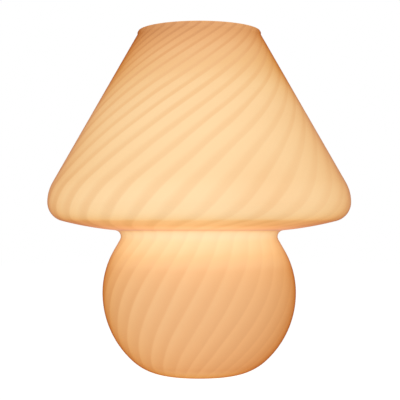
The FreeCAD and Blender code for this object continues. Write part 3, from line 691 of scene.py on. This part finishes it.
@dataclass(frozen=True)
class LitGlass(Finish):
    """Milky blown glass with a swirl of stripes, with the bulb's light through it painted into its
    emission as a glow.
    """

    AXIS_GUARD = 0.000001

    stripes: int = 32
    start: float = 5.5
    leans: Places = (
        (0.0, 51), (0.15, 49), (0.3, 44.5), (0.4, 40.5), (0.45, 42.5), (0.52, 30),
        (0.6, 17), (0.68, 26), (0.8, 30), (0.9, 26), (1.0, 12),
    )
    # Painted glow of the bulb's light on the outside face, by share of the way from the rim to the foot:
    # dimmest at the rim, brightest at the neck next to the bulb, dimmer again over the belly.
    outside: Places = (
        (0.0, 0.52), (0.02, 0.55), (0.05, 0.60), (0.08, 0.64), (0.15, 0.71), (0.27, 0.73), (0.43, 0.73),
        (0.46, 0.76), (0.48, 0.84), (0.52, 0.88), (0.56, 1.0), (0.58, 1.0), (0.6, 0.79), (0.65, 0.71),
        (0.69, 0.62), (0.72, 0.61), (0.8, 0.60), (0.92, 0.60), (1.0, 0.9),
    )
    # Painted glow on the inside face, by the same share.
    inside: Places = ((0.0, 0.64), (0.1, 0.70), (0.3, 0.76), (0.6, 0.80), (1.0, 0.74))
    # Colours of the painted glow, by its level.
    painted_glow_colours: Stops = (
        (0.5, paint(155, 118, 92)), (0.57, paint(175, 142, 112)), (0.6, paint(180, 150, 120)),
        (0.64, paint(186, 162, 134)), (0.69, paint(190, 170, 140)), (0.74, paint(196, 184, 158)),
        (0.8, paint(208, 200, 175)), (0.87, paint(230, 230, 216)), (0.92, paint(250, 254, 248)),
        (1.0, paint(268, 286, 300)),
    )
    stripe_depth: Places = (
        (0.0, 0.042), (0.12, 0.053), (0.2, 0.051), (0.3, 0.036), (0.42, 0.039), (0.6, 0.014),
        (0.66, 0.022), (0.73, 0.031), (1.0, 0.027),
    )
    rim_band: Places = (
        (0.0, 1.0), (0.31, 0.9), (0.47, 0.18), (0.58, 0.0), (0.69, 0.05), (0.77, 1.0), (1.0, 1.0)
    )
    shade_band: Places = (
        (0.0, 1.0), (0.22, 0.95), (0.48, 0.12), (0.62, 0.0), (0.71, 0.06), (0.80, 1.0), (1.0, 1.0)
    )
    bowl_band: Places = (
        (0.0, 0.75), (0.40, 0.15), (0.55, 0.0), (0.63, 0.05), (0.74, 1.0), (0.88, 0.95), (1.0, 0.75)
    )
    skin: Places = (
        (0.0, 1.0), (0.1, 1.0), (0.2, 0.85), (0.42, 0.85), (0.475, 0.95), (0.57, 0.95),
        (0.6, 0.85), (0.64, 0.87), (0.7, 1.0), (1.0, 1.0)
    )
    # Painted shade: a soft darker patch in the glow, centred at the front of the lip right of the
    # middle, with its reach and depth.
    painted_dim_patch: Point = (0.059, -0.135, 0.18)
    dim_patch_size: float = 0.06
    dim_patch_depth: float = 0.03
    lower_zone: Places = ((0.55, 0.0), (0.64, 1.0))
    upper_zone: Places = ((0.2, 1.0), (0.38, 0.0))
    drift_scale: float = 3.2
    streak_scale: float = 16.0
    run_scale: float = 2.2
    wander: float = 0.3
    streak_share: float = 0.14
    ripple_share: float = 0.6
    band_middle: float = 0.55
    drift_depth: float = 1.2
    least_depth: float = 0.4
    shade_side: float = 3.5
    belly_side: float = 2.5
    # Painted light from side to side: above shade_height the glow grows brighter to the right, below
    # belly_height brighter to the left, by these slopes.
    shade_height: float = 0.265
    belly_height: float = 0.15
    upper_side_glow: float = 11.0
    lower_side_glow: float = 6.0
    light_body: Colour = (0.42, 0.225, 0.100)
    dark_body: Colour = (0.385, 0.200, 0.088)
    roughness: float = 0.34
    roughness_spread: float = 0.12
    # Strength of the painted glow.
    light: float = 1.6
    tint: Colour = (0.885, 0.775, 0.627)
    ripple: float = 0.00012

    def sockets(self, g: Shading) -> dict[str, Feed]:
        """Reads the glass's twist, along and inside marks, and paints the bulb's glow into its emission.

        Args:
            g: the material's tree.

        Returns:
            What each socket gets.
        """
        along, inside = g.attribute("along"), g.attribute("inside")
        turn_back = {"Vector": g.places, "Angle": g.attribute("twist") * -1.0}
        turned = g.node("ShaderNodeVectorRotate", {"rotation_type": "Z_AXIS"}, turn_back)
        across, deep, _ = g.axes(turned)
        radius = (across * across + deep * deep + self.AXIS_GUARD) ** 0.5
        around = {0: across / radius, 1: deep / radius, 2: along * self.run_scale}
        ring = g.node("ShaderNodeCombineXYZ", inputs=around)
        drift = g.noise(self.drift_scale, where=ring)
        streak = g.noise(self.streak_scale, 3.0, ring)
        turn = g.maths("ARCTAN2", across, deep * -1.0) * (self.stripes / FULL_TURN)
        phase = (turn + (drift - 0.5) * self.wander).maths("FRACT")
        lower, upper = g.level(along, self.lower_zone), g.level(along, self.upper_zone)
        band = g.level(phase, self.rim_band) * upper + g.level(phase, self.bowl_band) * lower
        band = band + g.level(phase, self.shade_band) * (1 - lower - upper)
        band = band * (1 - self.streak_share) + streak * self.streak_share
        x, _, z = g.axes()
        # Painted light: the bulb's light through the wall is painted here as a glow on both faces.
        painted_glow = g.level(along, self.outside) * (1 - inside) + g.level(along, self.inside) * inside
        # Painted light: the glow is lighter on one side, to the right on the upper shade and to the left
        # on the belly.
        painted_side_glow = (z - self.shade_height).maths("MAXIMUM", 0.0) * self.upper_side_glow
        painted_side_glow = painted_side_glow + (z - self.belly_height).maths("MINIMUM", 0.0) * self.lower_side_glow
        depth = g.level(along, self.stripe_depth) * (drift * self.drift_depth + self.least_depth)
        depth = depth * (1 - x * (lower * self.belly_side + self.shade_side))
        # Painted shade: the soft darker patch taken off the glow.
        away = g.node("ShaderNodeVectorMath", {"operation": "DISTANCE"}, {0: g.places, 1: self.painted_dim_patch})
        painted_dim_patch = g.span(g.wire(away, "Value"), (0.0, self.dim_patch_size), (self.dim_patch_depth, 0.0))
        level = painted_glow * (x * painted_side_glow + 1.0) + (band - self.band_middle) * depth - painted_dim_patch
        height = band * self.ripple_share + streak * (1 - self.ripple_share)
        return {
            "Base Color": g.blend(band, self.dark_body, self.light_body),
            "Roughness": streak * self.roughness_spread + self.roughness,
            "Specular IOR Level": 0.08,
            "Coat Weight": g.level(along, self.skin),
            "Coat Roughness": 0.3,
            "Coat IOR": 1.005,
            "Coat Tint": self.tint,
            # The painted glow goes out as emission.
            "Emission Color": g.ramp(level, self.painted_glow_colours),
            "Emission Strength": self.light,
            "Normal": g.bump(height, self.ripple),
        }


@dataclass(frozen=True)
class Metal(Finish):
    """Bare or plated metal with fine turning marks and worn patches."""

    colour: Colour
    darker_tone: Colour
    smooth: float = 0.25
    rough: float = 0.45
    pitch: float = 0.00035
    depth: float = 0.00002
    patch_scale: float = 160.0
    fine_scale: float = 900.0
    mark_share: float = 0.6

    def sockets(self, g: Shading) -> dict[str, Feed]:
        """Turns marks round the lamp's axis and wears the surface in patches.

        Args:
            g: the material's tree.

        Returns:
            What each socket gets.
        """
        x, y, z = g.axes()
        reach = (x * x + y * y) ** 0.5
        patches, fine = g.noise(self.patch_scale, 4.0), g.noise(self.fine_scale, 3.0)
        lines = ((reach + z) * (FULL_TURN / self.pitch)).maths("SINE") * 0.5 + 0.5
        marks = lines * self.mark_share + fine * (1 - self.mark_share)
        return {
            "Base Color": g.blend(g.span(patches, (0.40, 0.68)), self.colour, self.darker_tone),
            "Metallic": 1.0,
            "Roughness": g.span(patches, (0.3, 0.7), (self.smooth, self.rough)) + fine * 0.08,
            "Normal": g.bump(marks, self.depth),
        }


@dataclass(frozen=True)
class ThreadedTube(Finish):
    """Zinc plated tube with a fine thread cut over its whole length."""

    colour: Colour = (0.62, 0.63, 0.64)
    # Darker colour, in worn patches and, as painted shade, in the thread's roots.
    darker_tone: Colour = (0.45, 0.46, 0.48)
    pitch: float = 0.001
    depth: float = 0.0003
    wear_scale: float = 420.0
    roughness: float = 0.22
    roughness_spread: float = 0.2

    def sockets(self, g: Shading) -> dict[str, Feed]:
        """Winds the thread's ridge round the lamp's axis, with painted shade in its roots.

        Args:
            g: the material's tree.

        Returns:
            What each socket gets.
        """
        x, y, z = g.axes()
        turn = g.maths("ARCTAN2", y, x) * (1 / FULL_TURN)
        ridge = (z * (1 / self.pitch) - turn).from_middle() * 2
        wear = g.noise(self.wear_scale, 3.0)
        return {
            # Painted shade: the colour goes darker into the thread's roots, mixed with random worn
            # patches.
            "Base Color": g.blend(ridge * 0.5 + wear * 0.5, self.darker_tone, self.colour),
            "Metallic": 1.0,
            "Roughness": wear * self.roughness_spread + self.roughness,
            "Normal": g.bump(ridge, self.depth),
        }


@dataclass(frozen=True)
class Moulded(Finish):
    """Moulded plastic, rubber or glaze, with a fine grain and a little dust."""

    colour: Colour
    bright: Colour
    roughness: float = 0.5
    spread: float = 0.12
    grain: float = 1400.0
    depth: float = 0.00003
    clear: float = 0.0
    dust_scale: float = 130.0

    def sockets(self, g: Shading) -> dict[str, Feed]:
        """Dusts the surface in patches and gives it its grain.

        Args:
            g: the material's tree.

        Returns:
            What each socket gets.
        """
        dust = g.noise(self.dust_scale, 4.0)
        return {
            "Base Color": g.blend(g.span(dust, (0.42, 0.72)), self.colour, self.bright),
            "Roughness": dust * self.spread + (self.roughness - self.spread / 2),
            "Transmission Weight": self.clear,
            "Normal": g.bump(g.noise(self.grain), self.depth),
        }


@dataclass(frozen=True)
class Glow(Finish):
    """A milky part that gives light of its own."""

    colour: Colour
    light: Colour
    strength: float
    roughness: float = 0.4
    roughness_spread: float = 0.1
    cloud_scale: float = 60.0
    fine_scale: float = 1100.0
    depth: float = 0.00002
    dim: float = 0.86
    dull: float = 0.94

    def sockets(self, g: Shading) -> dict[str, Feed]:
        """Puts faint clouds in its colour and its light.

        Args:
            g: the material's tree.

        Returns:
            What each socket gets.
        """
        clouds, fine = g.noise(self.cloud_scale, 3.0), g.noise(self.fine_scale)
        dim = tuple(channel * self.dim for channel in self.light)
        dull = tuple(channel * self.dull for channel in self.colour)
        return {
            "Base Color": g.blend(clouds, self.colour, dull),
            "Roughness": fine * self.roughness_spread + self.roughness,
            "Emission Color": g.blend(clouds, self.light, dim),
            "Emission Strength": self.strength,
            "Normal": g.bump(fine, self.depth),
        }


@dataclass(frozen=True)
class Board(Finish):
    """A printed board with copper tracks under its lacquer."""

    lacquer: Colour
    track: Colour
    gap: float = 0.0028
    track_edge: Place = (0.10, 0.14)
    depth: float = 0.00004
    cell_scale: float = 300.0

    def sockets(self, g: Shading) -> dict[str, Feed]:
        """Draws straight tracks that run along in some cells and across in the others.

        Args:
            g: the material's tree.

        Returns:
            What each socket gets.
        """
        x, _, z = g.axes()
        rows, lines = (
            g.span((way * (1 / self.gap)).from_middle(), self.track_edge, (1.0, 0.0)) for way in (z, x)
        )
        cells = g.span(g.noise(self.cell_scale, 0.0), (0.47, 0.53))
        mask = rows * cells + lines * (1 - cells)
        return {
            "Base Color": g.blend(mask, self.lacquer, self.track),
            "Roughness": mask * -0.1 + 0.42,
            "Coat Weight": 0.4,
            "Normal": g.bump(mask, self.depth),
        }


class Palette:
    """One material for each slot of the lamp."""

    def __init__(self) -> None:
        """Builds every finish once."""
        white = (0.80, 0.79, 0.76)
        finishes = {
            Slot.OPAL_GLASS: LitGlass(),
            Slot.CLEAR_RUBBER: Moulded((0.78, 0.79, 0.78), (0.86, 0.87, 0.86), 0.32, clear=0.7),
            Slot.BLACK_RUBBER: Moulded((0.016, 0.016, 0.017), (0.05, 0.049, 0.047), 0.72),
            Slot.ZINC_STEEL: Metal((0.60, 0.61, 0.62), (0.47, 0.48, 0.51)),
            Slot.BRASS: Metal((0.72, 0.50, 0.20), (0.50, 0.34, 0.15), 0.22, 0.4),
            Slot.HOLDER_PLASTIC: Moulded((0.76, 0.74, 0.70), white, 0.38, depth=0.00005),
            Slot.PORCELAIN: Moulded(white, (0.70, 0.68, 0.63), 0.24, 0.06, 500.0, 0.00002),
            Slot.NICKEL: Metal((0.70, 0.67, 0.61), (0.55, 0.51, 0.44), 0.2, 0.38),
            Slot.SPRING_STEEL: Metal((0.50, 0.50, 0.51), (0.36, 0.36, 0.38), 0.25, 0.4),
            Slot.BUSH_RUBBER: Moulded((0.70, 0.67, 0.60), (0.62, 0.58, 0.51), 0.62),
            Slot.BULB_PLASTIC: Moulded(white, (0.72, 0.71, 0.68), 0.36),
            Slot.BULB_OPAL: Glow((0.60, 0.56, 0.48), (1.0, 0.80, 0.53), 0.7),
            Slot.DARK_GLAZE: Moulded((0.02, 0.02, 0.024), (0.04, 0.04, 0.045), 0.12, 0.05),
            Slot.BULB_BOARD: Board((0.78, 0.78, 0.76), (0.62, 0.62, 0.60), 0.004),
            Slot.PHOSPHOR: Glow((0.80, 0.62, 0.12), (1.0, 0.80, 0.40), 2.0, 0.5),
            Slot.CIRCUIT_BOARD: Board((0.02, 0.13, 0.06), (0.10, 0.26, 0.12)),
            Slot.CAPACITOR_SLEEVE: Moulded((0.03, 0.035, 0.06), (0.05, 0.055, 0.08), 0.3),
            Slot.COIL_FERRITE: Moulded((0.06, 0.055, 0.05), (0.12, 0.11, 0.10), 0.66),
        }
        self.materials = {slot: finish.make(slot.value) for slot, finish in finishes.items()}

    def __getitem__(self, slot: Slot) -> Material:
        """The material of a slot."""
        return self.materials[slot]


# Pieces


@dataclass
class Workshop:
    """What every sub-assembly needs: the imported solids, the slot of each, and the finishes."""

    solids: Mapping[str, Object]
    slots: Mapping[str, str]
    palette: Palette

    def place(self, piece: Object, body: Body, slot: Slot, replaces: Sequence[str] = ()) -> None:
        """Puts a finished piece on its body.

        Args:
            piece: the piece, at the origin with its place in its mesh.
            body: the body that it moves with.
            slot: the record's slot for its material; not used.
            replaces: solids that it stands for.
        """
        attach(piece, body.value)
        if replaces:
            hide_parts(*replaces)
        LOG.info("%s: %d faces, rides on %s", piece.name, len(piece.data.polygons), body.value)

    def dress(self, *names: str, finish: Material | None = None) -> None:
        """Gives solids of the frame their material.

        Args:
            names: the solids.
            finish: a finish of their own that takes the place of their slot's.
        """
        for name in names:
            solid, chosen = self.solids[name], finish or self.palette[Slot(self.slots[name])]
            if not solid.material_slots:
                solid.data.materials.append(chosen)
            for holder in solid.material_slots:
                holder.material = chosen
            LOG.info("%s: dressed in %s", name, chosen.name)


@dataclass
class GlassBody:
    """The one-piece glass: foot, belly and shade, with its lead hole at the back."""

    section: GlassSection
    segments: int = 224
    hole_radius: float = 0.0050
    hole_rise: float = 11.9
    drill_depth: float = 0.007
    drill_length: float = 0.02
    drill_sides: int = 40

    def build(self, shop: Workshop) -> None:
        """Turns, drills and places the glass, and dresses its pads.

        Args:
            shop: the workshop.
        """
        points, along, inside = self.section.whole()
        glass = LitGlass()
        twist = self.section.twist(glass.leans, glass.start, along)
        marks = {"along": along, "inside": inside, "twist": twist}
        finish = shop.palette[Slot.OPAL_GLASS]
        piece = Lathe(self.segments).turn("blown_glass", points, finish, marks=marks)
        self.drill(piece)
        shop.place(piece, Body.LAMP, Slot.OPAL_GLASS, ["glass_body"])
        shop.dress("bumper_pads")

    def drill(self, piece: Object) -> None:
        """Cuts the lead hole through the wall, square to the belly.

        Args:
            piece: the turned glass.
        """
        drop = self.section.sweep - math.radians(self.hole_rise)
        out = Vector((0, math.cos(drop), -math.sin(drop)))
        reach = self.section.belly_lower_arc - self.drill_depth
        start = Vector((0, *self.section.low)) + out * reach
        shaft = bmesh.new()
        bmesh.ops.create_cone(
            shaft,
            cap_ends=True,
            segments=self.drill_sides,
            radius1=self.hole_radius,
            radius2=self.hole_radius,
            depth=self.drill_length,
            matrix=Matrix.Translation(start) @ out.to_track_quat("Z", "Y").to_matrix().to_4x4(),
        )
        drill = add("lead_drill", bpy.data.meshes.new("lead_drill"))
        shaft.to_mesh(drill.data)
        shaft.free()
        cut = piece.modifiers.new("lead_hole", "BOOLEAN")
        cut.object, cut.operation, cut.solver = drill, "DIFFERENCE", "EXACT"
        piece.data = settle(piece, cut)
        bpy.data.objects.remove(drill)
        seam = bmesh.new()
        seam.from_mesh(piece.data)
        bmesh.ops.remove_doubles(seam, verts=seam.verts, dist=Lathe.TIE)
        bmesh.ops.dissolve_degenerate(seam, dist=Lathe.TIE, edges=seam.edges)
        seam.to_mesh(piece.data)
        seam.free()


@dataclass
class FootClamp:
    """Washers, nuts and threaded tube that clamp the holder's stem through the glass floor."""

    def build(self, shop: Workshop) -> None:
        """Dresses the clamp's pieces.

        Args:
            shop: the workshop.
        """
        shop.dress("lower_nut", "lower_steel_washer", "lower_rubber_washer")
        shop.dress("upper_rubber_washer", "upper_steel_washer", "upper_nut", "stem_sleeve")
        shop.dress("threaded_tube", finish=ThreadedTube().make("threaded_zinc"))


class RibRing(Recipe):
    """A ring of upright ribs with rounded ends, round the lamp's axis."""

    POINTS = 9
    SIDES = 8
    SQUARENESS = 8.0
    END_SIZE = 0.02

    def __init__(self, sizes: Mapping[str, float]) -> None:
        """Builds the tree.

        Args:
            sizes: "Count" of the ribs, radius of the "Ring" through their middles, height of their
                "Foot", their "Length", and the radius of one "Rib".
        """
        super().__init__("RibRing", sizes)
        foot_height = Wire(self, self.given("Foot"))
        low, high = (
            self.node("ShaderNodeCombineXYZ", inputs={2: height})
            for height in (foot_height, foot_height + self.given("Length"))
        )
        line = self.node("GeometryNodeCurvePrimitiveLine", inputs={"Start": low, "End": high})
        path = self.node("GeometryNodeResampleCurve", inputs={0: line, "Count": self.POINTS})
        along = self.wire(self.node("GeometryNodeSplineParameter"))
        swell = (1.0 + self.END_SIZE - (along * 2.0 - 1.0).maths("ABSOLUTE") ** self.SQUARENESS) ** 0.5
        path = self.node("GeometryNodeSetCurveRadius", inputs={0: path, "Radius": swell})
        rib_bar = self.bar(path, self.SIDES, self.given("Rib"))
        places = {"Vertices": self.given("Count"), "Radius": self.given("Ring")}
        points = self.node("GeometryNodeMeshCircle", inputs=places)
        spread = {"Points": points, "Instance": rib_bar}
        self.close(self.node("GeometryNodeInstanceOnPoints", inputs=spread))


class CoilSpring(Recipe):
    """A coil of round wire round the lamp's axis."""

    STEPS = 40
    SIDES = 10

    def __init__(self, sizes: Mapping[str, float]) -> None:
        """Builds the tree.

        Args:
            sizes: number of "Turns", radius of the "Ring" that the wire's middle follows, height of its
                "Foot", its "Length" upwards, and the radius of the "Wire".
        """
        super().__init__("CoilSpring", sizes)
        sockets = {
            "Resolution": self.STEPS,
            "Rotations": self.given("Turns"),
            "Start Radius": self.given("Ring"),
            "End Radius": self.given("Ring"),
            "Height": self.given("Length"),
        }
        spiral = self.node("GeometryNodeCurveSpiral", inputs=sockets)
        low = self.node("ShaderNodeCombineXYZ", inputs={2: self.given("Foot")})
        raised = self.node("GeometryNodeTransform", inputs={0: spiral, "Translation": low})
        self.close(self.bar(raised, self.SIDES, self.given("Wire")))


@dataclass
class LampHolder:
    """Plastic lamp holder with its porcelain insert, screw shell and contacts."""

    rib_count: int = 36
    rib_ring: float = 0.0199
    rib_foot: float = 0.0612
    rib_length: float = 0.0245
    rib_radius: float = 0.0006
    spring_turns: float = 4.0
    spring_radius: float = 0.0027
    spring_wire: float = 0.00025
    contact_travel: float = 0.0008

    def build(self, shop: Workshop) -> None:
        """Dresses the holder and adds the grip ribs on its shell and the contact's spring.

        Args:
            shop: the workshop.
        """
        shop.dress("holder_cap", "holder_grub_screw", "holder_shell", "holder_insert", "screw_shell")
        shop.dress("centre_contact", "terminals", "terminal_screws", "insert_rivets")
        sizes = {"Count": self.rib_count, "Ring": self.rib_ring, "Foot": self.rib_foot}
        tree = RibRing({**sizes, "Length": self.rib_length, "Rib": self.rib_radius})
        grip = tree.apply("holder_grip_ribs", shop.palette[Slot.HOLDER_PLASTIC])
        shop.place(grip, Body.LAMP, Slot.HOLDER_PLASTIC)
        self.spring(shop)

    def spring(self, shop: Workshop) -> None:
        """Coils the spring under the centre contact as one fixed shape; the real spring shortens as the
        contact is pressed.

        Args:
            shop: the workshop.
        """
        low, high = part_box("contact_spring")
        length, wire = high[2] - low[2], self.spring_wire
        sizes = {"Turns": self.spring_turns, "Ring": self.spring_radius, "Wire": wire}
        tree = CoilSpring({**sizes, "Foot": low[2] + wire, "Length": length - 2 * wire})
        coil = tree.apply("contact_coil", shop.palette[Slot.SPRING_STEEL])
        shop.place(coil, Body.LAMP, Slot.SPRING_STEEL, ["contact_spring"])
        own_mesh(coil)


@dataclass
class Bulb:
    """Globe bulb: screw cap, plastic housing and milky globe over its light board."""

    radius: float = 0.030
    wall: float = 0.0012
    middle: float = 0.147
    seam: float = 0.130
    segments: int = 96
    steps: int = 40

    def face(self, radius: float) -> list[Place]:
        """One face of the globe.

        Args:
            radius: its radius.

        Returns:
            Points from the seam up to the axis.
        """
        start, top = math.asin((self.seam - self.middle) / radius), math.pi / 2
        angles = [start + (top - start) * step / self.steps for step in range(self.steps)]
        points = [(radius * math.cos(angle), self.middle + radius * math.sin(angle)) for angle in angles]
        return [*points, (0.0, self.middle + radius)]

    def build(self, shop: Workshop) -> None:
        """Turns the globe and dresses the rest.

        Args:
            shop: the workshop.
        """
        section = self.face(self.radius - self.wall)[::-1] + self.face(self.radius)
        finish = shop.palette[Slot.BULB_OPAL]
        globe = Lathe(self.segments).turn("globe_diffuser", section, finish, closed=False)
        shop.place(globe, Body.BULB, Slot.BULB_OPAL, ["bulb_globe"])
        shop.dress("bulb_contact_tip", "bulb_cap_insulator", "bulb_screw_cap", "bulb_housing")
        shop.dress("bulb_led_board", "bulb_led_chips")
        shop.dress("bulb_driver_board", "bulb_driver_capacitor", "bulb_driver_coil")


@dataclass
class LeadBush:
    """Rubber bush in the lead hole."""

    def build(self, shop: Workshop) -> None:
        """Dresses the bush."""
        shop.dress("lead_bush")


# Studio


@dataclass(frozen=True)
class Lamp:
    """One soft round studio light."""

    name: str
    place: Point
    width: float
    power: float
    aim: Point = (0, 0, 0.18)

    def build(self) -> None:
        """Makes the light."""
        data = bpy.data.lights.new(self.name, "AREA")
        data.shape, data.size, data.energy = "DISK", self.width, self.power
        light = add(self.name, data)
        light.location = self.place
        light.rotation_mode = "QUATERNION"
        light.rotation_quaternion = (Vector(self.aim) - Vector(self.place)).to_track_quat("-Z", "Y")


@dataclass
class Studio:
    """Pale floor, soft light, white surroundings and the camera."""

    camera_distance: float = 1.1176
    camera_height: float = 0.1595
    lens: float = 95.85
    sensor: float = 36.0
    shift: Place = (0.002, 0.0575)
    clip: Place = (0.05, 50.0)
    floor_size: float = 6.0
    floor_white: float = 0.94
    floor_plain: Colour = (0.80, 0.80, 0.80)
    floor_faint: Colour = (0.22, 0.22, 0.22)
    surround: float = 0.30
    lamps: tuple[Lamp, ...] = (
        Lamp("key", (-0.45, -1.85, 1.0), 1.1, 10.0),
        Lamp("fill", (1.5, -1.2, 0.8), 1.3, 4.0),
        Lamp("back", (0.2, 1.7, 1.5), 1.3, 4.0),
    )

    def build(self) -> None:
        """Makes the whole studio."""
        self.camera()
        self.floor()
        self.world()
        for lamp in self.lamps:
            lamp.build()

    def camera(self) -> None:
        """Sets the camera level, in front of the lamp."""
        data = bpy.data.cameras.new("camera")
        data.lens, data.sensor_width = self.lens, self.sensor
        data.shift_x, data.shift_y = self.shift
        data.clip_start, data.clip_end = self.clip
        eye = add("camera", data)
        eye.location = (0, -self.camera_distance, self.camera_height)
        eye.rotation_euler = (math.pi / 2, 0, 0)
        bpy.context.scene.camera = eye

    @staticmethod
    def seen(graph: Graph) -> Wire:
        """Finds the rays that show the background: to the eye, in gloss and through glass.

        Args:
            graph: the tree that asks.

        Returns:
            1 on those rays and 0 on all others.
        """
        path = graph.node("ShaderNodeLightPath")
        seen = graph.wire(path, "Is Camera Ray")
        for ray in ("Is Glossy Ray", "Is Transmission Ray"):
            seen = seen.maths("MAXIMUM", path.outputs[ray])
        return seen

    def floor(self) -> None:
        """Lays the pale floor, which stays white to the eye and keeps a faint shadow."""
        half = self.floor_size / 2
        square = [(-half, -half, 0), (half, -half, 0), (half, half, 0), (-half, half, 0)]
        ground = add("floor", bpy.data.meshes.new("floor"))
        ground.data.from_pydata(square, [], [(0, 1, 2, 3)])
        g = Shading("studio_floor")
        plain, faint = (
            g.node("ShaderNodeBsdfDiffuse", inputs={"Color": colour})
            for colour in (self.floor_plain, self.floor_faint)
        )
        white = g.node("ShaderNodeEmission", inputs={"Color": (1, 1, 1), "Strength": self.floor_white})
        shown = g.node("ShaderNodeAddShader", inputs={0: faint, 1: white})
        mixed = g.node("ShaderNodeMixShader", inputs={0: self.seen(g), 1: plain, 2: shown})
        ground.data.materials.append(g.finish(mixed))

    def world(self) -> None:
        """Makes the surroundings white to the eye and softly bright for the light."""
        world = bpy.data.worlds.new("surroundings")
        world.use_nodes = True
        world.node_tree.nodes.clear()
        g = Graph(world.node_tree)
        strength = self.seen(g) * (1 - self.surround) + self.surround
        sky = g.node("ShaderNodeBackground", inputs={"Color": (1, 1, 1), "Strength": strength})
        g.node("ShaderNodeOutputWorld", inputs={"Surface": sky})
        bpy.context.scene.world = world


def main() -> None:
    """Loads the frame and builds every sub-assembly in order."""
    logging.basicConfig(level=logging.INFO, format="%(name)s %(message)s")
    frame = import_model()
    bpy.context.scene.view_settings.view_transform = "Standard"
    Studio().build()
    slots = {row["node"]: row["material_slot"] for row in frame["record"]["subparts"]}
    shop = Workshop(frame["nodes"], slots, Palette())
    for part in (GlassBody(GlassSection()), FootClamp(), LampHolder(), Bulb(), LeadBush()):
        LOG.info("building %s", type(part).__name__)
        part.build(shop)


if __name__ == "__main__":
    main()
